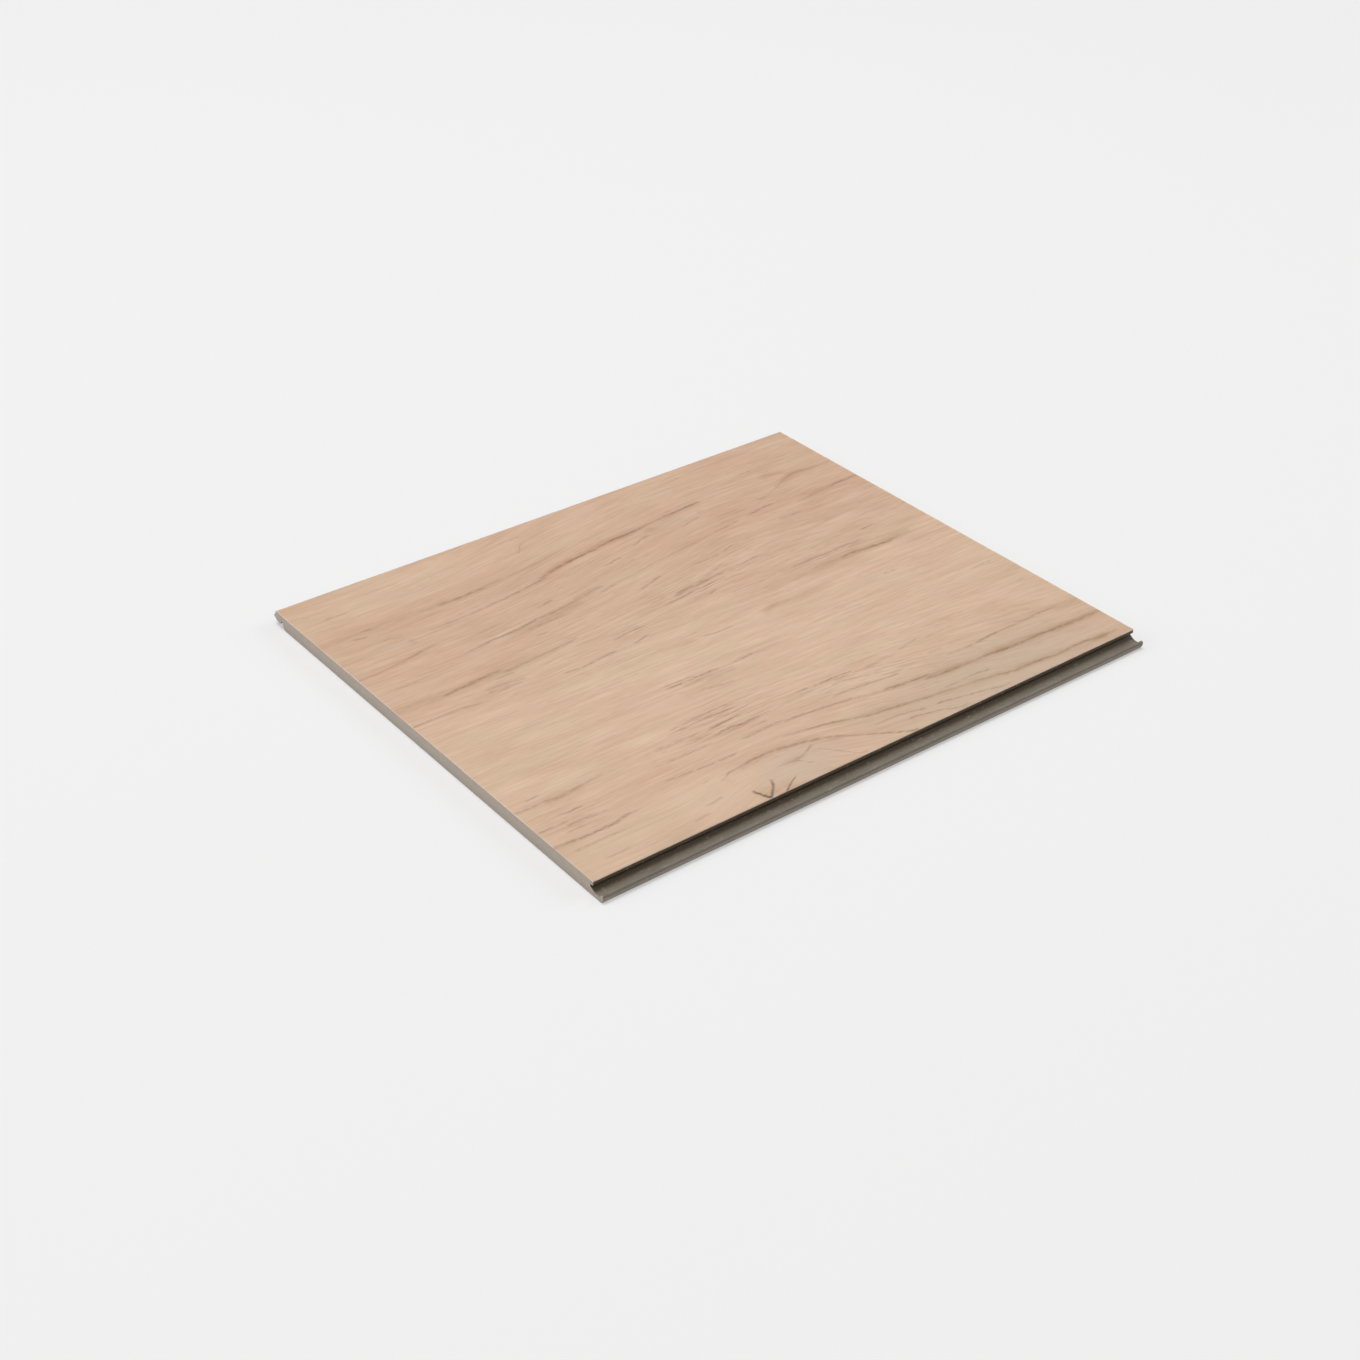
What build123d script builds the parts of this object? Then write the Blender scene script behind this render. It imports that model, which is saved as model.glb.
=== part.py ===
from build123d import *
import os
from math import sqrt

# Flooring sample: a short length sawn off a click-lock plank, lying flat with its decor up.
# X runs along the grain, +Y points to the tongue side and Z is up. The origin is on the
# underside, below the middle of the decor face. Sizes are in millimetres.

# Board
length = 216.0  # between the two sawn ends, along the grain
cover_width = 180.0  # of the decor face, from joint to joint
thickness = 5.0  # from the underside to the decor face
decor_thickness = 0.5  # wear layer and printed film together
edge_bevel = 0.25  # eased long edges of the decor face

# Groove side of the joint. Reaches are measured from the joint line at the decor's edge.
upper_lip = 1.4  # from the decor face down to the roof of the pocket
pocket_height = 1.2
pocket_depth = 1.3  # how far the pocket goes in under the upper lip
lip_thickness = 1.3  # of the lower lip at its thinnest, in the trough
trough_reach = 1.9  # from the joint line out to the lowest line of the trough
lip_reach = 4.6  # from the joint line out to the end of the lower lip
ridge_height = 2.5  # top of the locking ridge, above the underside
ridge_width = 0.85
flank_run = 0.65  # how far the locking flank leans in, from the ridge to its foot
ridge_round = 0.15  # rounded corners of the ridge and of the hollow that takes it
lip_bevel_run = 0.6  # bevel under the end of the lower lip
lip_bevel_rise = 1.1

# Play between the tongue and a neighbour's groove
fit_gap = 0.05  # on the bearing faces
tip_gap = 0.15  # in front of the tongue's tip
ridge_gap = 0.15  # above the neighbour's ridge
lip_gap = 0.2  # beyond the end of the neighbour's lower lip
foot_bevel_run = 0.7  # bevel at the foot of the hollow that takes the lower lip
foot_bevel_rise = 0.8

core_top = thickness - decor_thickness
pocket_middle = thickness - upper_lip - pocket_height / 2


def groove_point(reach, height):
    """Section point of the groove side, with reach counted outwards from its joint line."""
    return (-cover_width / 2 - reach, height)


def tongue_point(reach, height):
    """The same point of the joint in the board that is clicked in, so reach counts inwards."""
    return (cover_width / 2 - reach, height)


def locking_edge(place, play, depth, ridge_top, end_reach, bevel_run, bevel_rise):
    """Draws one side of the joint from the decor down to the underside, and returns that last point.

    Both sides follow this one line. The tongue side stands off it by its play.
    """
    round_end = pocket_height / 2 - play
    neck = depth - round_end

    # Joint face, then the pocket with its round inner end, or the tongue with its round tip
    Polyline(
        place(0, core_top),
        place(0, pocket_middle + round_end),
        place(-neck, pocket_middle + round_end),
    )
    ThreePointArc(
        place(-neck, pocket_middle + round_end),
        place(-depth, pocket_middle),
        place(-neck, pocket_middle - round_end),
    )

    # Trough: an arc that leaves the pocket and is lowest at the trough's reach
    lowest = lip_thickness + play
    rise = pocket_middle - round_end - lowest
    radius = ((trough_reach + neck) ** 2 + rise**2) / (2 * rise)
    flank_top = lip_reach - ridge_width - play
    flank_foot = flank_top - flank_run
    foot_height = lowest + radius - sqrt(radius**2 - (flank_foot - trough_reach) ** 2)
    ThreePointArc(
        place(-neck, pocket_middle - round_end),
        place(trough_reach, lowest),
        place(flank_foot, foot_height),
    )

    # Locking flank, ridge, end of the lip and the bevel down to the underside
    underside = place(end_reach + bevel_run, 0)
    FilletPolyline(
        place(flank_foot, foot_height),
        place(flank_top, ridge_top),
        place(end_reach, ridge_top),
        place(end_reach, bevel_rise),
        underside,
        radius=ridge_round,
    )
    return underside


# Core board, with the locking groove milled into one long side and the tongue into the other
with BuildPart() as core_board:
    with BuildSketch(Plane.YZ.offset(-length / 2)):
        with BuildLine():
            groove_foot = locking_edge(
                groove_point,
                play=0,
                depth=pocket_depth,
                ridge_top=ridge_height,
                end_reach=lip_reach,
                bevel_run=-lip_bevel_run,
                bevel_rise=lip_bevel_rise,
            )
            tongue_foot = locking_edge(
                tongue_point,
                play=fit_gap,
                depth=pocket_depth - tip_gap,
                ridge_top=ridge_height + ridge_gap,
                end_reach=lip_reach + lip_gap,
                bevel_run=foot_bevel_run,
                bevel_rise=foot_bevel_rise,
            )
            Line(groove_foot, tongue_foot)
            Line(groove_point(0, core_top), tongue_point(0, core_top))
        make_face()
    extrude(amount=length)

# Decor layer: the printed film under its clear wear layer, bonded to the core
with BuildPart() as decor_layer:
    with BuildSketch(Plane.YZ.offset(-length / 2)) as decor_section:
        with Locations((0, core_top)):
            Rectangle(cover_width, decor_thickness, align=(Align.CENTER, Align.MIN))
        chamfer(decor_section.vertices().group_by(Axis.Y)[-1], edge_bevel)
    extrude(amount=length)

os.makedirs("parts", exist_ok=True)
core_board.part.label = "core_board"
decor_layer.part.label = "decor_layer"
for piece in (core_board.part, decor_layer.part):
    export_step(piece, f"parts/{piece.label}.step")
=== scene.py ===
from math import cos, radians, sin

import bpy
import numpy as np
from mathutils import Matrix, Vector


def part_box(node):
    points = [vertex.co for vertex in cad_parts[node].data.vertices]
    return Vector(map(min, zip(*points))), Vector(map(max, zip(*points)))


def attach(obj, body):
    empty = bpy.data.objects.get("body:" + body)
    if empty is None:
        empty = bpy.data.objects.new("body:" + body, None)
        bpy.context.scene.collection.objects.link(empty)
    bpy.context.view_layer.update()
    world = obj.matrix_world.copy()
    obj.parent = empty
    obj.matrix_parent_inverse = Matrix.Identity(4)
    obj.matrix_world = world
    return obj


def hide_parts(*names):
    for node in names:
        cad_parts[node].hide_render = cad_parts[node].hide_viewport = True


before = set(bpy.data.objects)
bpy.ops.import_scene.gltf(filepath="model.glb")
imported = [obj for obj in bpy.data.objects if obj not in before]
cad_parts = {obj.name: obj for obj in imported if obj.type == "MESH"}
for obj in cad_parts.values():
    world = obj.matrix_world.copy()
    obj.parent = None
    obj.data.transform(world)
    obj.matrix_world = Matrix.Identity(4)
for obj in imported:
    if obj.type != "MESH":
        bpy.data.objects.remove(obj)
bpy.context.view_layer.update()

# The sample lies flat with its decor up. X runs along the grain, +Y points to the tongue side, Z is up.
# Lengths are in millimetres and become metres where a mesh is made. Floor, lamps and camera are in metres.
MM = 0.001
decor_low, decor_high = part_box("decor_layer")
LENGTH, WIDTH, _ = (round((high - low) / MM, 3) for low, high in zip(decor_low, decor_high))
TOP = round(decor_high[2] / MM, 3)
DECOR_FOOT = round(decor_low[2] / MM, 3)
EDGE_BEVEL = 0.25
JOINT_LINE = -WIDTH / 2  # of the groove side

# Wood print
# A point of a grain line is (distance from the near sawn end, distance from the groove edge, strength).

# Broad soft shadows in the grain
SHADES = [
    [
        (0, 150, 0.3), (20, 150.5, 0.35), (52, 150.5, 0.35), (64, 151, 0.3), (80, 152.5, 0.2),
        (100, 156.5, 0.1),
    ],
    [
        (78, 143, 0.15), (90, 147, 0.35), (105, 149.5, 0.45), (128, 151.5, 0.35), (140, 153, 0.15),
        (156, 154, 0.2),
    ],
    [(52, 120.5, 0.15), (64, 120.5, 0.4), (74, 121.5, 0.4), (84, 123.5, 0.2)],
    [(0, 128, 0.2), (20, 128.5, 0.2), (32, 129, 0.1)],
    [(0, 104, 0.3), (20, 103.5, 0.35), (36, 103.5, 0.35), (50, 104, 0.2), (68, 105.5, 0.1)],
    [(19, 92.5, 0.2), (30, 93, 0.1)],
    [(86, 82, 0.25), (96, 82, 0.3), (100, 82, 0.1)],
    [(127, 81.5, 0.2), (133, 83, 0.4), (143, 81.5, 0.4), (153, 82, 0.3), (158, 83, 0.1)],
    [(138, 92.5, 0.2), (158, 92.5, 0.35), (173, 93, 0.45), (188, 92.5, 0.45), (203, 93.5, 0.2)],
    [(80, 62, 0.1), (97, 61.5, 0.12)],
    [(11, 38, 0.3), (20, 38, 0.35), (24, 38.5, 0.1)],
    [
        (128, 22.5, 0.2), (142, 20.5, 0.35), (150, 19, 0.5), (162, 18, 0.4), (174, 17.5, 0.6),
        (196, 16, 0.6), (216, 15, 0.4),
    ],
    [
        (112, 16, 0.15), (124, 13.5, 0.3), (140, 10.5, 0.2), (168, 6.5, 0.4), (178, 5.5, 0.4),
        (206, 3.5, 0.35),
    ],
    [(205, 25, 0.25), (216, 25, 0.3)],
    [(186, 147, 0.2), (194, 149.5, 0.45), (199, 151, 0.55), (208, 150.5, 0.3), (216, 150, 0.15)],
    [(186, 155, 0.15), (192, 154.8, 0.3), (197, 154, 0.1)],
    [(188, 133.5, 0.15), (204, 135, 0.25), (216, 136, 0.25)],
    [(66, 17.5, 0.2), (80, 17.5, 0.3), (92, 15.5, 0.25), (100, 11.5, 0.2)],
]

# Dark veins, which are also pressed into the surface
VEINS = [
    # The crack through the upper half, in two stretches
    [
        (28, 139, 0), (42, 138.7, 0.4), (58, 139.9, 0.45), (70, 141.3, 0.55), (80, 143.1, 0.6),
        (83, 143.6, 0.25),
    ],
    [
        (81, 144.6, 0.3), (85, 145.5, 0.65), (93, 147.2, 0.75), (103, 148.8, 0.95),
        (108, 149.4, 0.6), (114, 150.4, 0.85), (122, 151.2, 1.0), (128, 151.5, 0.9),
        (132, 152.2, 0.35), (140, 153.2, 0.55), (148, 153.8, 0.75), (153, 154.2, 0.75),
        (157, 154.4, 0.3),
    ],
    [
        (44, 150.3, 0.2), (48, 150.3, 0.6), (53, 150.3, 0.5), (60, 150.8, 0.6), (66, 151.3, 0.3),
        (86, 153.5, 0.3), (98, 155.5, 0.1),
    ],
    [
        (35, 120, 0.2), (45, 121, 0.6), (55, 121.5, 0.75), (65, 123, 0.55), (76, 124, 0.4),
        (85, 126, 0.3), (91, 127, 0.55), (95, 127.5, 0.1),
    ],
    [(17, 103.1, 0.2), (21, 103.4, 0.7), (30, 104.1, 0.75), (39, 104.6, 0.4)],
    [(40, 103.2, 0.3), (46, 103.5, 0.4), (56, 104.2, 0.25), (66, 105.2, 0.4), (70, 105.6, 0.1)],
    [(164, 136, 0.1), (168, 136.5, 0.6), (171, 137, 0.6), (178, 137.5, 0.35), (186, 138, 0.1)],
    [
        (176, 142.5, 0.4), (180, 143.5, 0.2), (188, 147, 0.25), (193, 149.5, 0.4), (198, 151, 0.45),
        (204, 150.5, 0.2), (216, 150, 0.1),
    ],
    [
        (186, 133, 0.2), (195, 134.5, 0.25), (203, 135, 0.35), (206, 135.5, 0.8), (211, 135.5, 0.6),
        (216, 136, 0.5),
    ],
    [
        (171, 93, 0.3), (176, 93.5, 0.65), (180, 93, 0.5), (184, 92.5, 0.65), (191, 92, 0.8),
        (196, 92.5, 0.35), (203, 93, 0.1),
    ],
    [
        (74, 64, 0.2), (78, 64, 0.7), (84, 64, 0.55), (91, 64, 0.8), (97, 63.5, 0.3),
        (104, 64, 0.6), (110, 64, 0.3), (120, 64, 0.1),
    ],
    [
        (0, 38.5, 0.6), (7, 38.5, 0.5), (10, 38.5, 0.25), (17, 38, 0.35), (25, 39, 0.4),
        (32, 39.5, 0.1),
    ],
    [(0, 18.5, 0.6), (10, 18, 0.65), (20, 18, 0.75), (27, 19, 0.6), (30, 19, 0.1)],
    [(70, 35, 0.3), (76, 35.5, 0.85), (80, 35, 0.8), (88, 35, 0.35), (112, 36, 0.1)],
    # Lines that sweep down past the knot and round it, the first one in two stretches
    [
        (76, 28.5, 0.2), (84, 29, 0.55), (95, 28, 0.45), (105, 26.5, 0.5), (113, 25.5, 0.5),
        (122, 23.5, 0.35), (132, 22, 0.6), (140, 21.1, 0.6), (145, 20.6, 0.2),
    ],
    [
        (142, 19.2, 0.3), (147, 18.6, 0.8), (155, 18.1, 0.6), (163, 17.9, 0.45), (170, 17.4, 0.7),
        (178, 16.5, 0.85), (186, 16.5, 0.65), (194, 16, 0.9), (200, 15.5, 0.75), (206, 15, 0.5),
        (216, 15, 0.5),
    ],
    [
        (86, 22, 0.15), (95, 20.5, 0.5), (102, 19, 0.6), (108, 17, 0.5), (114, 15, 0.5),
        (124, 13.5, 0.6), (134, 11.5, 0.55), (146, 10, 0.35), (158, 8, 0.45), (168, 6, 0.6),
        (177, 5.5, 0.65), (188, 4.5, 0.45), (196, 4.5, 0.65), (206, 3.5, 0.5), (212, 3, 0.2),
    ],
    [
        (58, 15.5, 0.2), (62, 17.5, 0.5), (66, 17.5, 0.3), (71, 18.5, 0.65), (80, 18, 0.6),
        (90, 16, 0.6), (97, 13.5, 0.45), (104, 9.5, 0.45), (110, 6, 0.5), (116, 2.5, 0.65),
        (121, 0.5, 0.8),
    ],
]

# Fine lines and dashes
FINE_LINES = [
    [(84, 172.5, 0.3), (91, 172.5, 0.25)],
    [(24, 171.5, 0.15), (40, 171, 0.2)],
    [(85, 163.5, 0.2), (89, 167.5, 0.35)],
    [(11, 165, 0.4), (17.5, 164.5, 0.3)],
    [(182, 162, 0.3), (186, 162, 0.3)],
    [(187, 155.5, 0.1), (194, 154, 0.2), (197, 152, 0.1)],
    [(17, 151, 0.4), (19, 151, 0.3)],
    [(12, 148, 0.5), (15, 147.5, 0.5)],
    [(120.5, 143.5, 0.5), (124, 145, 0.5), (128, 146, 0.2)],
    [(141, 143.5, 0.15), (145, 144.5, 0.4), (150, 145.5, 0.25)],
    [(19, 142, 0.2), (24, 141, 0.3)],
    [(160, 140, 0.2), (166, 140, 0.3)],
    [(104, 138, 0.3), (110, 139, 0.6)],
    [(70, 129, 0.15), (75.5, 130, 0.6)],
    [(0, 126, 0.35), (12, 127, 0.25), (19, 128, 0.45), (24, 129, 0.5), (31, 130, 0.1)],
    [
        (104, 126.5, 0.1), (116, 129, 0.2), (130, 131, 0.15), (142, 132.5, 0.1), (152, 134, 0.35),
        (159, 135, 0.3),
    ],
    [(172, 127, 0.1), (177, 127, 0.45), (182, 127, 0.1)],
    [(93, 124.5, 0.3), (98, 125.5, 0.3)],
    [(128, 120, 0.15), (142, 121, 0.4), (147, 122.5, 0.3)],
    [(60, 119.5, 0.2), (73, 120, 0.3)],
    [(103, 118, 0.5), (108, 119, 0.55), (114, 120.5, 0.4)],
    [(8, 115, 0.25), (14, 115, 0.25)],
    [(60, 114.5, 0.3), (63, 114.5, 0.3)],
    [(126, 111.8, 0.2), (131, 112.8, 0.3), (137, 114.5, 0.15)],
    [(140, 110.5, 0.3), (148, 111.5, 0.35)],
    [(113, 108.5, 0.4), (122, 109, 0.5), (132, 110, 0.4)],
    [(104, 105, 0.2), (112, 105.5, 0.55), (120, 106.5, 0.5), (131, 107, 0.3)],
    [(190.5, 104, 0.5), (196, 104.5, 0.25)],
    [(120.5, 101.4, 0.3), (123, 102.3, 0.45)],
    [(36, 101, 0.4), (41, 101, 0.4)],
    [(80, 99.5, 0.3), (88, 100, 0.3)],
    [
        (128, 97.5, 0.2), (145, 98, 0.2), (163, 98.5, 0.5), (172, 98.5, 0.5), (182, 98.5, 0.45),
        (185, 99, 0.1),
    ],
    [(79, 97.5, 0.35), (90, 98.5, 0.35)],
    [(30, 97.5, 0.35), (41, 97, 0.35)],
    [(30, 96, 0.3), (42, 96, 0.3)],
    [(33, 95, 0.25), (40, 95, 0.25)],
    [(0, 94, 0.55), (8, 94, 0.35), (16, 94, 0.3), (24, 93, 0.15)],
    [(83, 92, 0.5), (88, 93, 0.3)],
    [(55, 91, 0.4), (59, 90.5, 0.3)],
    [(61, 90.5, 0.5), (66, 91, 0.6), (74, 91.5, 0.5)],
    [(101, 82, 0.25), (108, 81, 0.4), (114, 81, 0.1)],
    [(176.5, 76, 0.45), (180, 76, 0.3)],
    [(75, 65.5, 0.3), (85, 65, 0.3)],
    [(80, 62, 0.2), (98, 62, 0.2)],
    [(88, 60.5, 0.2), (98, 60.5, 0.2)],
    [(202, 60.5, 0.25), (210, 60.5, 0.25)],
    [(85, 56, 0.3), (93, 55.5, 0.45)],
    [(62, 45.5, 0.3), (78, 46, 0.35), (93, 46, 0.25)],
    [(62, 44, 0.3), (84, 44, 0.35)],
    [(7, 42, 0.4), (10, 42, 0.35)],
    [(70, 41.5, 0.2), (84, 41.5, 0.2)],
    [(52, 39, 0.4), (66, 39, 0.35)],
    [(71, 39, 0.3), (83, 39, 0.35)],
    [(106, 38, 0.6), (109, 38, 0.5)],
    [(112, 37.5, 0.35), (119, 37.5, 0.7), (126, 37, 0.35)],
    [(133, 36, 0.35), (139, 36, 0.3)],
    [(148, 37.5, 0.35), (156, 38.5, 0.2)],
    [(160, 37.5, 0.2), (170, 37.5, 0.15)],
    [(118, 34.5, 0.35), (129, 33, 0.3)],
    [(51, 32.5, 0.3), (66, 32.5, 0.25)],
    [(82, 32, 0.35), (87, 32, 0.3)],
    [(13, 30, 0.4), (17, 30.5, 0.4)],
    [(154, 30, 0.35), (158, 30, 0.25)],
    [(113, 29.5, 0.35), (125, 28.5, 0.45), (137, 27, 0.55)],
    [(0, 27, 0.5), (10, 27, 0.35)],
    [
        (158, 25.5, 0.2), (168, 25, 0.4), (175, 25.5, 0.7), (183, 26, 0.4), (193, 25.5, 0.3),
        (197, 26, 0.5), (206, 25.5, 0.15),
    ],
    [(44, 25.3, 0.25), (53, 24.6, 0.35)],
    [(56, 24.2, 0.35), (61, 24, 0.3)],
    [(64, 23.8, 0.55), (69, 23.8, 0.45)],
    [(10, 25, 0.35), (22, 24.5, 0.25)],
    [(8, 22.5, 0.3), (20, 22, 0.3)],
    [(5, 14, 0.25), (20, 14, 0.25)],
    [(145, 12, 0.4), (151, 12, 0.25), (157, 12, 0.4), (161, 11.5, 0.55)],
    [(75, 11, 0.2), (82, 10.5, 0.3), (87, 12, 0.4), (90.5, 13.5, 0.3)],
    [(81, 10, 0.4), (85, 6.5, 0.2)],
    [(89, 11, 0.25), (95, 6, 0.3), (101, 1, 0.3)],
    [(113, 10, 0.2), (124, 9, 0.3), (130, 7.5, 0.5)],
    [(47, 8.5, 0.3), (52, 9, 0.35)],
    [(136, 7, 0.5), (143, 5.5, 0.5), (152, 3.5, 0.45), (161, 1.5, 0.3)],
    [(10, 6, 0.25), (16, 6, 0.25)],
    [(124, 6, 0.5), (131, 4.5, 0.5), (143, 1, 0.3)],
    [(40, 4.5, 0.3), (44, 5, 0.3)],
]

# Cracks in the knot. They run across the grain, so a point of one is
# (distance from the groove edge, distance from the near sawn end, strength).
KNOT_CRACKS = [
    [(0, 63.8, 0.9), (3, 62.5, 0.95), (6, 61.5, 0.4)],
    [(0, 63.5, 0.9), (2.5, 66, 0.8), (5.5, 68.5, 0.7), (7.5, 69, 0.3)],
    [(0, 69.3, 0.7), (1.5, 71.5, 0.75), (3.2, 74.3, 0.7), (4.2, 76.3, 0.3)],
]

# Soft spots of the print: (distance from the near sawn end, distance from the groove edge,
# half length along the grain, half width across it, strength)
DARK_SPOTS = [
    (131, 148.5, 4.5, 2.6, 0.3),
    (153, 148.5, 2.5, 3.0, 0.2),
    (26, 136, 1.8, 3.2, 0.3),
    (87, 165, 2.5, 3.0, 0.12),
    (122, 150.5, 5.0, 2.0, 0.25),
    (81, 10.5, 6.0, 2.6, 0.35),
    (205, 3.5, 7.0, 1.8, 0.4),
    (65, 2.5, 5.5, 5.0, 0.3),
    (72, 2.0, 4.0, 3.5, 0.2),
]
PALE_SPOTS = [
    (82, 9, 22, 12, 0.8),
    (17, 137, 10, 2.6, 0.4),
    (141, 148, 9, 3.0, 0.3),
]
GREY_SPOTS = [
    (165, 8, 70, 26, 0.7),
]
YELLOW_SPOTS = [
    (50, 11, 26, 15, 0.8),
    (14, 8, 26, 16, 0.5),
    (132, 30, 34, 12, 0.5),
    (40, 170, 40, 16, 0.3),
]
HATCHED_SPOTS = [
    (86, 61, 15, 7, 0.5),
    (76, 39, 26, 11, 1.0),
    (36, 95, 9, 8, 0.5),
    (122, 108, 28, 8, 0.8),
    (86, 96, 10, 8, 0.8),
    (172, 97, 20, 7, 0.7),
    (12, 28, 16, 11, 0.8),
    (130, 33, 28, 8, 0.9),
    (100, 83, 40, 5, 0.4),
    (60, 25, 14, 5, 0.6),
    (150, 22, 80, 26, 0.45),
    (90, 45, 60, 20, 0.35),
    (60, 108, 90, 26, 0.3),
    (150, 110, 80, 30, 0.3),
]

# Brightness of the print across its width: (distance from the groove edge, level)
TONE_BANDS = [
    (0, 0.5), (15, 0.5), (28, 0.51), (38, 0.535), (50, 0.545), (75, 0.545), (88, 0.53),
    (100, 0.492), (115, 0.48), (135, 0.448), (150, 0.452), (165, 0.472), (180, 0.476),
]

# Half widths of the grain lines
SHADE_REACH = 3.4
VEIN_REACH = 1.0
FINE_REACH = 0.75
CRACK_REACH = 1.2
LINE_FADE = 1.5  # over which a line fades out beyond its ends
KNOT_PLACE = 74  # distance of the knot from the near sawn end

# Relief of the decor face. Veins and cracks are pressed in wider than they are printed.
VEIN_DENT = 1.7 * VEIN_REACH
VEIN_DEPTH = 0.07
CRACK_DENT = 1.5 * CRACK_REACH
CRACK_DEPTH = 0.1
BROAD_WAVES = 0.016
FINE_WAVES = 0.014
RELIEF_MARGIN = 0.4  # along the long edges, where the relief fades out
CHIP_REACH = 0.3  # from the saw cuts
CHIP_DEPTH = 0.2
LEAST_WALL = 0.2  # that bevel and chips leave at the edges


def srgb(*levels):
    """A colour given in screen levels from 0 to 255, as the linear values that the shaders use."""
    shares = [level / 255 for level in levels]
    return tuple(s / 12.92 if s <= 0.04045 else ((s + 0.055) / 1.055) ** 2.4 for s in shares) + (1.0,)


# Colours of the print
ROSY_OAK = srgb(209.5, 176.5, 150.4)
TAN_OAK = srgb(207, 178, 150.4)
PALE_OAK = srgb(200, 179, 161)
YELLOW_OAK = srgb(217, 191, 163)
GREY_OAK = srgb(191, 172, 152)
SHADE_BROWN = srgb(170, 134, 101)
HATCH_BROWN = srgb(157, 121, 90)
PORE_BROWN = srgb(160, 125, 97)
VEIN_BROWN = srgb(115, 81, 51)
CRACK_BROWN = srgb(88, 68, 54)
# Painted highlight, with wear, at the arrises of the print
PRINT_ARRIS_HIGHLIGHT_AND_WEAR = srgb(216, 206, 193)

# Colours of the decor's sawn and milled edges; the milled one is a painted shade
PRINT_LINE = srgb(165, 143, 121)
CLEAR_LAYER = srgb(200, 179, 160)
# Painted shade on the milled long edges of the film
MILLED_FILM_SHADE = srgb(118, 100, 80)

# Colours of the core
MILLED_DARK = srgb(113, 105, 94)
MILLED_PALE = srgb(122, 115, 103)
# Painted shade in the trough and the pocket under the upper lip
TROUGH_SHADE = srgb(102, 88, 69)
POCKET_SHADE = srgb(87, 74, 55)
# Painted highlight, with wear, on the milled arrises at the saw cuts
CUT_ARRIS_HIGHLIGHT_AND_WEAR = srgb(186, 176, 163)
# Painted bounce light from the floor on the foot of the lower lip
FOOT_BOUNCE_LIGHT = srgb(158, 148, 135)
# Painted shade low on the sawn ends
SAWN_FOOT_SHADE = srgb(175, 164, 152)
SAWN_HIGH = srgb(187, 174, 162)
DARK_GRIT = srgb(112, 103, 91)
PALE_GRIT = srgb(176, 167, 155)
PALE_SPECK = srgb(182, 173, 160)
DARK_SPECK = srgb(92, 84, 74)
TOOL_MARK = srgb(118, 108, 97)

# Studio. Its lengths are in metres.
FLOOR_PAINT = srgb(242, 241, 241)
FLOOR_GLOW = srgb(239, 239, 239)
FLOOR_SPAN = 16.0
FLOOR_GAP = 0.0001  # below the underside
WHITE = (1.0, 1.0, 1.0, 1.0)


class Graph:
    """The nodes of a material or world, in short calls. A value is a number, a tuple or a node's output."""

    def __init__(self, owner):
        owner.use_nodes = True
        self.owner = owner
        self.tree = owner.node_tree
        self.tree.nodes.clear()

    def node(self, kind, inputs, **settings):
        node = self.tree.nodes.new("ShaderNode" + kind)
        for name, value in settings.items():
            setattr(node, name, value)
        for socket, value in inputs.items():
            if isinstance(value, bpy.types.NodeSocket):
                self.tree.links.new(value, node.inputs[socket])
            else:
                node.inputs[socket].default_value = value
        return node

    def math(self, operation, *values):
        return self.node("Math", dict(enumerate(values)), operation=operation).outputs[0]

    def vector(self, operation, *values):
        return self.node("VectorMath", dict(enumerate(values)), operation=operation).outputs[0]

    def distance(self, offset):
        return self.node("VectorMath", {0: offset}, operation="LENGTH").outputs["Value"]

    def remap(self, value, low, high, new_low=0.0, new_high=1.0, smooth=True):
        inputs = dict(enumerate((value, low, high, new_low, new_high)))
        kind = "SMOOTHSTEP" if smooth else "LINEAR"
        return self.node("MapRange", inputs, interpolation_type=kind).outputs[0]

    def sway(self, value, noise, swing):
        """The value, moved to and fro by noise."""
        return self.math("MULTIPLY_ADD", noise, swing, self.math("SUBTRACT", value, swing / 2))

    def within(self, value, half):
        """How far a value lies inside the nearer end of a stretch from -half to half."""
        return self.math("SUBTRACT", half, self.math("ABSOLUTE", value))

    def curve(self, value, points):
        """A smooth curve through points, whose two coordinates both run from 0 to 1."""
        node = self.node("FloatCurve", {"Value": value})
        line = node.mapping.curves[0]
        for point, place in zip(line.points, (points[0], points[-1])):
            point.location = place
        for place in points[1:-1]:
            line.points.new(*place)
        for point in line.points:
            point.handle_type = "AUTO_CLAMPED"
        node.mapping.update()
        return node.outputs[0]

    def mix(self, share, first, second):
        return self.node("Mix", {0: share, 6: first, 7: second}, data_type="RGBA").outputs[2]

    def noise(self, point, sizes, detail=2.0, roughness=0.5, seed=0.0):
        """Noise from 0 to 1, whose features have about these sizes in millimetres."""
        scaled = self.vector("MULTIPLY_ADD", point, tuple(1 / size for size in sizes), (seed,) * 3)
        inputs = {"Vector": scaled, "Scale": 1.0, "Detail": detail, "Roughness": roughness}
        return self.node("TexNoise", inputs).outputs["Fac"]

    def millimetres(self, corner):
        """The surface point in millimetres from a corner given in millimetres."""
        place = self.node("TexCoord", {}).outputs["Object"]
        return self.vector("MULTIPLY_ADD", place, (1 / MM,) * 3, tuple(-c for c in corner))

    def parts(self, point):
        return self.node("SeparateXYZ", {0: point}).outputs

    def facing(self):
        """The parts of the surface's own normal, without smoothing or bumps."""
        return self.parts(self.node("NewGeometry", {}).outputs["True Normal"])

    def bump(self, height, strength, distance):
        inputs = {"Strength": strength, "Distance": distance * MM, "Height": height}
        return self.node("Bump", inputs).outputs[0]

    def finish(self, surface):
        self.node("OutputMaterial", {"Surface": surface})
        return self.owner


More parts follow.
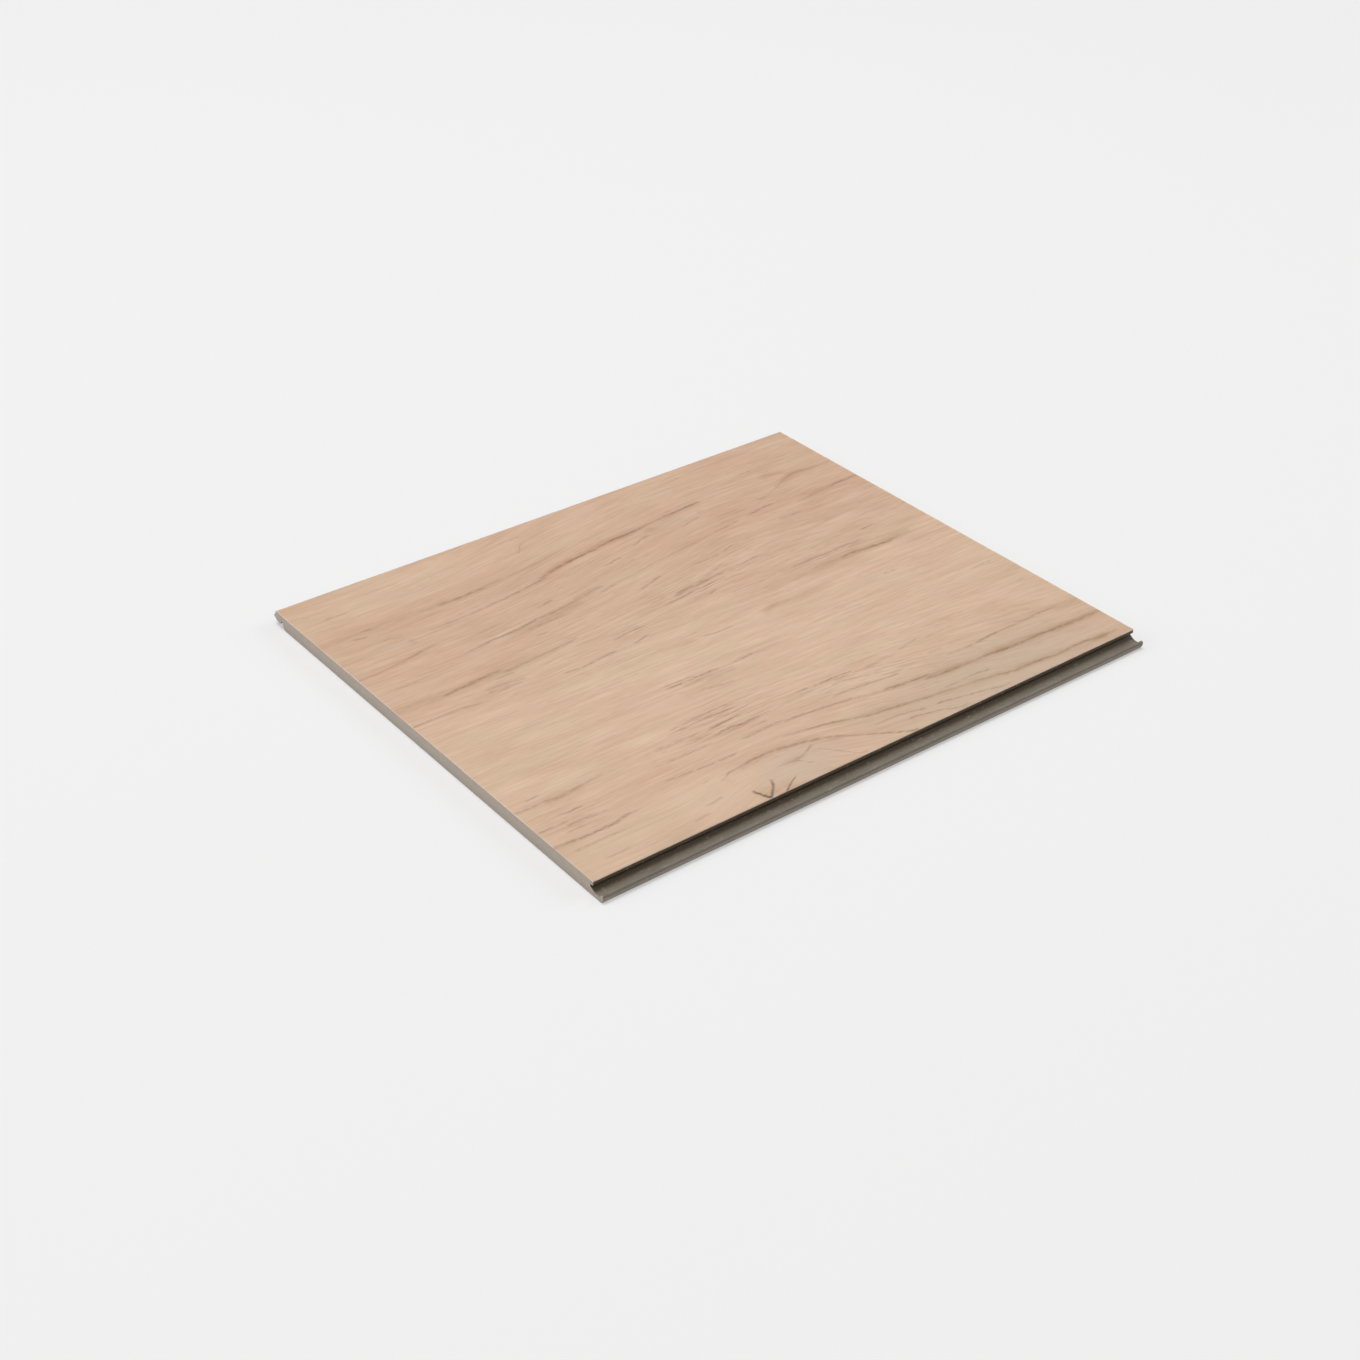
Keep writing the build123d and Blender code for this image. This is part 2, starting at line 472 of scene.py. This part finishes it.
def lanes(streaks, run):
    """Streaks that share no stretch of the board, strung together so that one set of nodes draws them.

    run is how far the board goes along the streaks. Each streak fades out over a short distance.
    """
    filled = []
    for streak in sorted(streaks, key=lambda points: points[0][0]):
        (first, first_side, _), (last, last_side, _) = streak[0], streak[-1]
        points = list(streak)
        if first - LINE_FADE > 0:
            points.insert(0, (first - LINE_FADE, first_side, 0))
        if last + LINE_FADE < run:
            points.append((last + LINE_FADE, last_side, 0))
        for lane in filled:
            if lane[-1][0] < points[0][0]:
                lane.extend(points)
                break
        else:
            filled.append(points)
    for lane in filled:
        if lane[0][0] > 0:
            lane.insert(0, (0, lane[0][1], 0))
        if lane[-1][0] < run:
            lane.append((run, lane[-1][1], 0))
    return filled


def draw_streaks(graph, streaks, run, side, reach, run_length=LENGTH, side_length=WIDTH):
    """Adds up the streaks' strengths. run and side are the position as shares of the two lengths."""
    total = 0.0
    for lane in lanes(streaks, run_length):
        centre = graph.curve(run, [(at / run_length, off / side_length) for at, off, _ in lane])
        strength = graph.curve(run, [(at / run_length, level) for at, _, level in lane])
        distance = graph.math("ABSOLUTE", graph.math("SUBTRACT", side, centre))
        mark = graph.remap(distance, 0, reach / side_length, 1, 0)
        total = graph.math("MULTIPLY_ADD", mark, strength, total)
    return total


def draw_spots(graph, point, spots, total=0.0):
    """Adds soft oval spots to a total."""
    for x, y, half_length, half_width, strength in spots:
        spread = (1 / half_length, 1 / half_width, 0)
        offset = graph.vector("MULTIPLY_ADD", point, spread, (-x / half_length, -y / half_width, 0))
        total = graph.math("ADD", graph.remap(graph.distance(offset), 0.2, 1, strength, 0), total)
    return total


def grain_flow(graph, point):
    """The surface point with its grain laid straight.

    The grain rises through the upper half, bends round the knot and falls away from it towards the far end.
    """
    x, y, _ = graph.parts(point)
    rise = graph.math("MULTIPLY", graph.remap(x, 30, 165, 0, 16), graph.remap(y, 80, 140))
    fall = graph.math("MULTIPLY", graph.remap(x, 78, 230, 0, 18), graph.remap(y, 16, 62, 1, 0))
    from_knot = graph.math("ABSOLUTE", graph.math("SUBTRACT", x, KNOT_PLACE))
    bulge = graph.math("MULTIPLY", graph.remap(from_knot, 0, 40, 9, 0), graph.remap(y, 2, 36, 1, 0))
    lift = graph.math("SUBTRACT", graph.math("ADD", rise, bulge), fall)
    wander = graph.noise(point, (38, 14, 10), seed=3.7)
    flow_y = graph.math("SUBTRACT", y, graph.math("MULTIPLY_ADD", wander, 2.5, lift))
    return graph.node("CombineXYZ", {0: x, 1: flow_y}).outputs[0]


def oak_ground(graph, point, flow, streaky, fibres):
    """The print without its lines: bands across the width, rosy and tan patches, streaks of grain, and
    painted shade towards the far end.
    """
    x, y, _ = graph.parts(point)
    patches = graph.noise(flow, (34, 9, 10), detail=3, roughness=0.55, seed=11.3)
    colour = graph.mix(graph.remap(patches, 0.36, 0.64), ROSY_OAK, TAN_OAK)
    band = graph.curve(graph.math("DIVIDE", y, WIDTH), [(at / WIDTH, level) for at, level in TONE_BANDS])
    # The fall towards the far end is painted shade
    tone_and_shade = graph.math("ADD", band, graph.remap(x, 90, LENGTH, 0.453, 0.428))
    mottle = graph.noise(flow, (22, 4.5, 10), detail=3, roughness=0.6, seed=19.7)
    for grain, swing in ((mottle, 0.06), (streaky, 0.06), (fibres, 0.07)):
        tone_and_shade = graph.math("ADD", tone_and_shade, graph.remap(grain, 0.3, 0.7, -swing, swing, smooth=False))

    # The grain darkens all three channels by like steps, so blue and green swing wider than red
    tones_and_shade = graph.node("CombineXYZ", {0: tone_and_shade, 1: tone_and_shade, 2: tone_and_shade}).outputs[0]
    tint = graph.vector("MULTIPLY_ADD", tones_and_shade, (0.9, 1.32, 1.5), (0.1, -0.32, -0.5))
    return graph.vector("MULTIPLY", colour, tint)


def grain_lines(graph, point):
    """Soft shadows, dark lines and knot cracks: unsteady in their course and broken up along it."""
    x, y, _ = graph.parts(point)
    slow = graph.noise(point, (9, 5, 10), seed=41.3)
    fast = graph.noise(point, (3.0, 1.6, 10), detail=3, roughness=0.6, seed=47.9)
    nicks = graph.noise(point, (1.2, 0.8, 10), roughness=0.6, seed=73.9)
    broken = graph.noise(point, (2.6, 0.7, 10), detail=3, roughness=0.65, seed=53.7)
    blotchy = graph.noise(point, (6, 1.6, 10), detail=3, roughness=0.6, seed=37.1)
    course = graph.sway(graph.sway(y, slow, 0.8), nicks, 0.5)
    side = graph.math("DIVIDE", graph.sway(course, fast, 0.9), WIDTH)
    fine_side = graph.math("DIVIDE", graph.sway(course, fast, 0.5), WIDTH)
    run = graph.math("DIVIDE", x, LENGTH)

    shade = draw_streaks(graph, SHADES, run, side, SHADE_REACH)
    shade = draw_spots(graph, point, DARK_SPOTS, shade)
    shade = graph.math("MULTIPLY", shade, graph.remap(blotchy, 0.35, 0.65, 0.6, 1.2))

    vein = draw_streaks(graph, VEINS, run, side, VEIN_REACH)
    fine = draw_streaks(graph, FINE_LINES, run, fine_side, FINE_REACH)
    line = graph.math("MULTIPLY_ADD", graph.math("POWER", fine, 0.75), 0.85, vein)
    ink = graph.math("MULTIPLY", line, graph.remap(broken, 0.34, 0.6, 0.35, 1.5))

    # The cracks run across the grain, so along and across change places
    cross_run = graph.math("DIVIDE", y, WIDTH)
    cross_side = graph.math("DIVIDE", graph.sway(x, fast, 1.0), LENGTH)
    crack = draw_streaks(graph, KNOT_CRACKS, cross_run, cross_side, CRACK_REACH, WIDTH, LENGTH)
    crack = graph.math("MULTIPLY", crack, graph.remap(broken, 0.34, 0.6, 0.7, 1.1))
    return shade, ink, crack


def drifting_pores(graph, flow):
    """Short pores all over, more of them in drifts along the grain."""
    stretched = graph.vector("MULTIPLY", flow, (1 / 6.0, 1 / 0.9, 0))
    inputs = {"Vector": stretched, "Scale": 1.0, "Randomness": 1.0}
    cells = graph.node("TexVoronoi", inputs, voronoi_dimensions="2D").outputs
    pick = graph.parts(cells["Color"])[0]
    drift = graph.noise(flow, (24, 6, 10), seed=67.1)
    pore = graph.remap(cells["Distance"], 0.12, 0.34, 1, 0)
    pore = graph.math("MULTIPLY", pore, graph.remap(pick, 0.6, 0.9))
    return graph.math("MULTIPLY", pore, graph.remap(drift, 0.42, 0.62, 0.15, 1))


def edge_highlight_and_wear(graph, point):
    """The print stops short of the arrises, which are pale with wear and a painted highlight."""
    x, y, _ = graph.parts(point)
    from_side = graph.within(graph.math("SUBTRACT", y, WIDTH / 2), WIDTH / 2)
    from_end = graph.within(graph.math("SUBTRACT", x, LENGTH / 2), LENGTH / 2)
    arris_highlight_and_wear = graph.remap(graph.math("MINIMUM", from_side, from_end), 0.1, 0.45, 0.45, 0)
    patchy = graph.noise(point, (5, 5, 5), detail=3, roughness=0.6, seed=71.3)
    return graph.math("MULTIPLY", arris_highlight_and_wear, graph.remap(patchy, 0.35, 0.65, 0.6, 1.4))


def wood_print():
    """Pale oak print under a matt clear wear layer."""
    graph = Graph(bpy.data.materials.new("oak_print"))
    point = graph.millimetres((-LENGTH / 2, -WIDTH / 2, 0))
    flow = grain_flow(graph, point)
    streaky = graph.noise(flow, (36, 1.3, 10), detail=4, roughness=0.65, seed=23.1)
    fibres = graph.noise(flow, (15, 0.55, 10), detail=3, roughness=0.6, seed=31.9)
    colour = oak_ground(graph, point, flow, streaky, fibres)

    # Paler and yellower round the knot, greyer towards the far end
    for spots, share, tint in (
        (PALE_SPOTS, 0.7, PALE_OAK),
        (YELLOW_SPOTS, 0.7, YELLOW_OAK),
        (GREY_SPOTS, 0.8, GREY_OAK),
    ):
        colour = graph.mix(graph.math("MULTIPLY", draw_spots(graph, point, spots), share), colour, tint)

    # Close parallel fibres in some places
    dashes = graph.noise(flow, (11, 0.6, 10), roughness=0.6, seed=61.7)
    hatch = graph.math("MULTIPLY", graph.remap(dashes, 0.5, 0.64), draw_spots(graph, point, HATCHED_SPOTS))

    pore = drifting_pores(graph, flow)
    shade, ink, crack = grain_lines(graph, point)
    for share, tint in (
        (graph.math("MULTIPLY", shade, 1.1), SHADE_BROWN),
        (graph.math("MULTIPLY", hatch, 0.4), HATCH_BROWN),
        (graph.math("MULTIPLY", pore, 0.2), PORE_BROWN),
        (graph.remap(ink, 0, 1.2, 0, 0.67, smooth=False), VEIN_BROWN),
        (graph.remap(crack, 0.05, 0.95, 0, 0.85), CRACK_BROWN),
        (edge_highlight_and_wear(graph, point), PRINT_ARRIS_HIGHLIGHT_AND_WEAR),
    ):
        colour = graph.mix(share, colour, tint)

    dents = graph.math("MULTIPLY_ADD", hatch, 0.8, ink)
    dents = graph.math("ADD", dents, graph.math("MULTIPLY", pore, 0.6))
    normal = graph.bump(graph.math("SUBTRACT", fibres, dents), strength=0.35, distance=0.05)
    sheen = graph.remap(streaky, 0.3, 0.7, 0.46, 0.54, smooth=False)
    rough = graph.math("MULTIPLY_ADD", pore, 0.12, sheen)
    inputs = {"Base Color": colour, "Roughness": rough, "Normal": normal, "IOR": 1.45}
    return graph.finish(graph.node("BsdfPrincipled", inputs).outputs[0])


def film_edge():
    """The cut edge of the decor: a clear layer over the thin line of the print, dull and darkened with
    painted shade where it is milled.
    """
    graph = Graph(bpy.data.materials.new("film_edge"))
    point = graph.millimetres((-LENGTH / 2, -WIDTH / 2, DECOR_FOOT))
    _, _, z = graph.parts(point)
    ragged = graph.noise(point, (0.8, 0.8, 0.4), roughness=0.6, seed=5.1)
    level = graph.math("MULTIPLY_ADD", ragged, 0.12, z)
    colour = graph.mix(graph.remap(level, 0.12, 0.26), PRINT_LINE, CLEAR_LAYER)
    milled = graph.remap(graph.math("ABSOLUTE", graph.facing()[1]), 0.5, 0.8)
    # Painted shade on the milled long edges
    colour = graph.mix(milled, colour, MILLED_FILM_SHADE)
    normal = graph.bump(ragged, strength=0.3, distance=0.05)
    inputs = {"Base Color": colour, "Roughness": 0.6, "Normal": normal}
    return graph.finish(graph.node("BsdfPrincipled", inputs).outputs[0])


def core_stock():
    """Warm grey rigid core: sawn across at the ends, milled along the edges, smooth underneath."""
    graph = Graph(bpy.data.materials.new("grey_core"))
    point = graph.millimetres((0, 0, 0))
    x, y, z = graph.parts(point)
    facing_x, facing_y, _ = graph.facing()
    sawn = graph.remap(graph.math("ABSOLUTE", facing_x), 0.5, 0.8)
    cloud = graph.noise(point, (9, 9, 3), detail=3, roughness=0.6, seed=2.3)
    grit = graph.noise(point, (0.35, 0.35, 0.35), roughness=0.6, seed=7.9)
    colour = graph.mix(graph.remap(cloud, 0.3, 0.7), MILLED_DARK, MILLED_PALE)

    # Painted shade: the trough is darker and browner, most of all under the upper lip that shades it
    deep = graph.remap(y, JOINT_LINE - 2.2, JOINT_LINE - 0.4)
    deep = graph.math("MULTIPLY", deep, graph.remap(y, JOINT_LINE + 2, JOINT_LINE + 3, 1, 0))
    lip_shade_colour = graph.mix(graph.remap(y, JOINT_LINE - 0.9, JOINT_LINE), TROUGH_SHADE, POCKET_SHADE)
    colour = graph.mix(deep, colour, lip_shade_colour)

    # The milled edges are pale at the saw cuts with wear and a painted highlight, and the foot of the lower
    # lip is pale with painted bounce light from the floor
    cut_arris_highlight_and_wear = graph.remap(graph.within(x, LENGTH / 2), 0.05, 0.45, 0.5, 0)
    colour = graph.mix(cut_arris_highlight_and_wear, colour, CUT_ARRIS_HIGHLIGHT_AND_WEAR)
    outward = graph.remap(facing_y, -0.3, -0.7)
    # Painted bounce light from the floor on the outward foot of the lower lip
    foot_bounce_light = graph.math("MULTIPLY", outward, graph.remap(y, JOINT_LINE - 3.2, JOINT_LINE - 3.8))
    foot_bounce_light = graph.math("MULTIPLY", foot_bounce_light, graph.remap(z, 2.3, 1.0))
    colour = graph.mix(foot_bounce_light, colour, FOOT_BOUNCE_LIGHT)

    # The sawn ends are paler, darker low down with painted shade, and grit and specks are spread over all
    # faces
    colour = graph.mix(sawn, colour, graph.mix(graph.remap(z, 0.6, 2.6), SAWN_FOOT_SHADE, SAWN_HIGH))
    colour = graph.mix(graph.remap(grit, 0.58, 0.72, 0, 0.4), colour, DARK_GRIT)
    colour = graph.mix(graph.remap(grit, 0.42, 0.3, 0, 0.3), colour, PALE_GRIT)
    specks = graph.noise(point, (2.2, 0.7, 0.7), roughness=0.6, seed=21.1)
    colour = graph.mix(graph.remap(specks, 0.6, 0.75, 0, 0.35), colour, PALE_SPECK)
    colour = graph.mix(graph.remap(specks, 0.4, 0.25, 0, 0.35), colour, DARK_SPECK)

    # Saw marks stand across the ends, cutter lines run along the milled edges
    saw = graph.noise(point, (10, 0.3, 6), roughness=0.6, seed=13.7)
    mill = graph.noise(point, (40, 0.18, 0.18), seed=17.3)
    marks = graph.node("Mix", {0: sawn, 2: mill, 3: saw}).outputs[0]
    colour = graph.mix(graph.remap(marks, 0.35, 0.65, 0.12, 0), colour, TOOL_MARK)
    normal = graph.bump(graph.math("MULTIPLY_ADD", grit, 0.5, marks), strength=0.4, distance=0.04)
    rough = graph.remap(marks, 0.3, 0.7, 0.62, 0.74, smooth=False)
    inputs = {"Base Color": colour, "Roughness": rough, "Normal": normal, "IOR": 1.4}
    return graph.finish(graph.node("BsdfPrincipled", inputs).outputs[0])


def add_object(name, data):
    """Puts an object with this mesh, lamp or camera into the scene."""
    thing = bpy.data.objects.new(name, data)
    bpy.context.scene.collection.objects.link(thing)
    return thing


def graded(half, step, fine):
    """Places from -half to half in even steps, with finer ones at these distances from each end."""
    inner = half - fine[-1]
    even = np.linspace(-inner, inner, round(2 * inner / step) + 1)
    return np.concatenate([[-half + f for f in fine[:-1]], even, [half - f for f in reversed(fine[:-1])]])


def value_noise(x, y, step_x, step_y, seed):
    """Smooth seeded noise from 0 to 1 on the board, whose features have these sizes."""
    columns, rows = int(LENGTH / step_x) + 3, int(WIDTH / step_y) + 3
    grid = np.random.default_rng(seed).random((columns, rows))
    u, v = (x + LENGTH / 2) / step_x, (y + WIDTH / 2) / step_y
    i, j = u.astype(int), v.astype(int)
    s, t = u - i, v - j
    s, t = s * s * (3 - 2 * s), t * t * (3 - 2 * t)
    near = grid[i, j] * (1 - t) + grid[i, j + 1] * t
    far = grid[i + 1, j] * (1 - t) + grid[i + 1, j + 1] * t
    return near * (1 - s) + far * s


def pressed(streak, run, side, reach, depth):
    """How deep a streak is pressed in: deepest on its course, and not at all beyond its reach."""
    places, sides, levels = zip(*streak)
    distance = np.abs(side - np.interp(run, places, sides)) / reach
    level = np.interp(run, places, levels, left=0, right=0)
    return depth * level * np.clip(1 - distance, 0, 1)


def decor_heights(x, y):
    """Heights of the decor face: uneven, with pressed-in grain, eased long edges and chipped saw cuts."""
    along, across = x + LENGTH / 2, y + WIDTH / 2
    depth = BROAD_WAVES * value_noise(x, y, step_x=17, step_y=2.6, seed=1)
    depth += FINE_WAVES * value_noise(x, y, step_x=7, step_y=1.1, seed=2)
    for streak in VEINS:
        depth += pressed(streak, along, across, VEIN_DENT, VEIN_DEPTH)
    for streak in KNOT_CRACKS:
        depth += pressed(streak, across, along, CRACK_DENT, CRACK_DEPTH)

    from_side = WIDTH / 2 - np.abs(y)
    from_end = LENGTH / 2 - np.abs(x)
    bevel = np.clip(EDGE_BEVEL - from_side, 0, None)
    rough_cut = np.clip(value_noise(x, y, step_x=3, step_y=0.9, seed=3) - 0.55, 0, None)
    chips = rough_cut * np.clip(1 - from_end / CHIP_REACH, 0, 1) * CHIP_DEPTH
    relief = depth * np.clip(from_side / RELIEF_MARGIN, 0, 1)
    return np.maximum(TOP - relief - bevel - chips, DECOR_FOOT + LEAST_WALL)


def decor_sheet():
    """The decor layer as a closed sheet: a fine grid on top, walls round it and one flat face below."""
    xs = graded(LENGTH / 2, step=0.95, fine=(0, 0.1, 0.3, 0.7))
    ys = graded(WIDTH / 2, step=0.52, fine=(0, 0.09, 0.18, 0.25, 0.4))
    x, y = np.meshgrid(xs, ys, indexing="ij")
    top_points = np.stack([x, y, decor_heights(x, y)], axis=-1).reshape(-1, 3)

    index = np.arange(len(top_points)).reshape(x.shape)
    corners = [index[:-1, :-1], index[1:, :-1], index[1:, 1:], index[:-1, 1:]]
    quads = np.stack(corners, axis=-1).reshape(-1, 4)
    rim = np.concatenate([index[:-1, 0], index[-1, :-1], index[:0:-1, -1], index[0, :0:-1]])
    foot_points = top_points[rim].copy()
    foot_points[:, 2] = DECOR_FOOT
    foot = np.arange(len(rim)) + len(top_points)
    walls = np.stack([rim, foot, np.roll(foot, -1), np.roll(rim, -1)], axis=-1)

    mesh = bpy.data.meshes.new("decor_sheet")
    faces = quads.tolist() + walls.tolist() + [foot[::-1].tolist()]
    mesh.from_pydata((np.concatenate([top_points, foot_points]) * MM).tolist(), [], faces)
    mesh.materials.append(wood_print())
    mesh.materials.append(film_edge())
    for face in list(mesh.polygons)[len(quads):]:
        face.material_index = 1
    mesh.shade_smooth()
    mesh.set_sharp_from_angle(angle=radians(30))
    return add_object("decor_sheet", mesh)


def seen_directly(graph):
    """1 for rays that show a surface, straight, in a gloss or through glass, and 0 for those of its light."""
    path = graph.node("LightPath", {}).outputs
    gloss = graph.math("MAXIMUM", path["Is Glossy Ray"], path["Is Transmission Ray"])
    return graph.math("MAXIMUM", path["Is Camera Ray"], gloss)


def pale_floor():
    """A floor that keeps the sample's shadow, and that glows where it is seen, most of all far away."""
    graph = Graph(bpy.data.materials.new("pale_floor"))
    inputs = {"Base Color": FLOOR_PAINT, "Roughness": 0.9, "Specular IOR Level": 0.1}
    matt = graph.node("BsdfPrincipled", inputs).outputs[0]
    glow = graph.node("Emission", {"Color": FLOOR_GLOW, "Strength": 1.0}).outputs[0]
    away = graph.distance(graph.node("TexCoord", {}).outputs["Object"])
    share = graph.math("MULTIPLY", seen_directly(graph), graph.remap(away, 0.5, 2.5, 0.45, 1.0))
    look = graph.node("MixShader", {0: share, 1: matt, 2: glow}).outputs[0]

    half = FLOOR_SPAN / 2
    mesh = bpy.data.meshes.new("floor")
    corners = [(-half, -half, 0), (half, -half, 0), (half, half, 0), (-half, half, 0)]
    mesh.from_pydata(corners, [], [(0, 1, 2, 3)])
    mesh.materials.append(graph.finish(look))
    floor = add_object("floor", mesh)
    floor.location.z = -FLOOR_GAP
    return floor


def studio():
    """A white backdrop that is brighter to look at than the light it sends out."""
    world = bpy.data.worlds.new("studio")
    graph = Graph(world)
    fill = graph.node("Background", {"Color": WHITE, "Strength": 0.27}).outputs[0]
    backdrop = graph.node("Background", {"Color": WHITE, "Strength": 0.86}).outputs[0]
    sky = graph.node("MixShader", {0: seen_directly(graph), 1: fill, 2: backdrop}).outputs[0]
    graph.node("OutputWorld", {"Surface": sky})
    return world


def softbox(name, bearing, height, distance, size, power):
    """A square lamp that faces the sample. Its bearing is counted from +X over +Y."""
    bearing, height = radians(bearing), radians(height)
    lamp = bpy.data.lights.new(name, "AREA")
    lamp.shape = "SQUARE"
    lamp.size = size
    lamp.energy = power
    box = add_object(name, lamp)
    box.location = (
        distance * cos(height) * cos(bearing),
        distance * cos(height) * sin(bearing),
        distance * sin(height),
    )
    box.rotation_euler = (radians(90) - height, 0, bearing + radians(90))


# The sample
decor = decor_sheet()
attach(decor, "root")
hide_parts("decor_layer")

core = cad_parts["core_board"]
core.material_slots[0].material = core_stock()

# Floor, lamps and camera
floor = pale_floor()

bpy.context.scene.world = studio()
softbox("left_softbox", bearing=150, height=30, distance=4.0, size=2.0, power=36.0)
softbox("right_softbox", bearing=345, height=28, distance=4.0, size=2.0, power=38.0)
softbox("top_softbox", bearing=110, height=80, distance=3.0, size=1.0, power=50.0)

lens = bpy.data.cameras.new("camera")
lens.lens = 56.98
lens.sensor_width = 36.0
camera = add_object("camera", lens)
camera.location = (-0.37119, -0.47275, 0.37390)
camera.rotation_euler = (radians(56.86), 0, radians(-37.47))
bpy.context.scene.camera = camera
bpy.context.scene.view_settings.view_transform = "Standard"
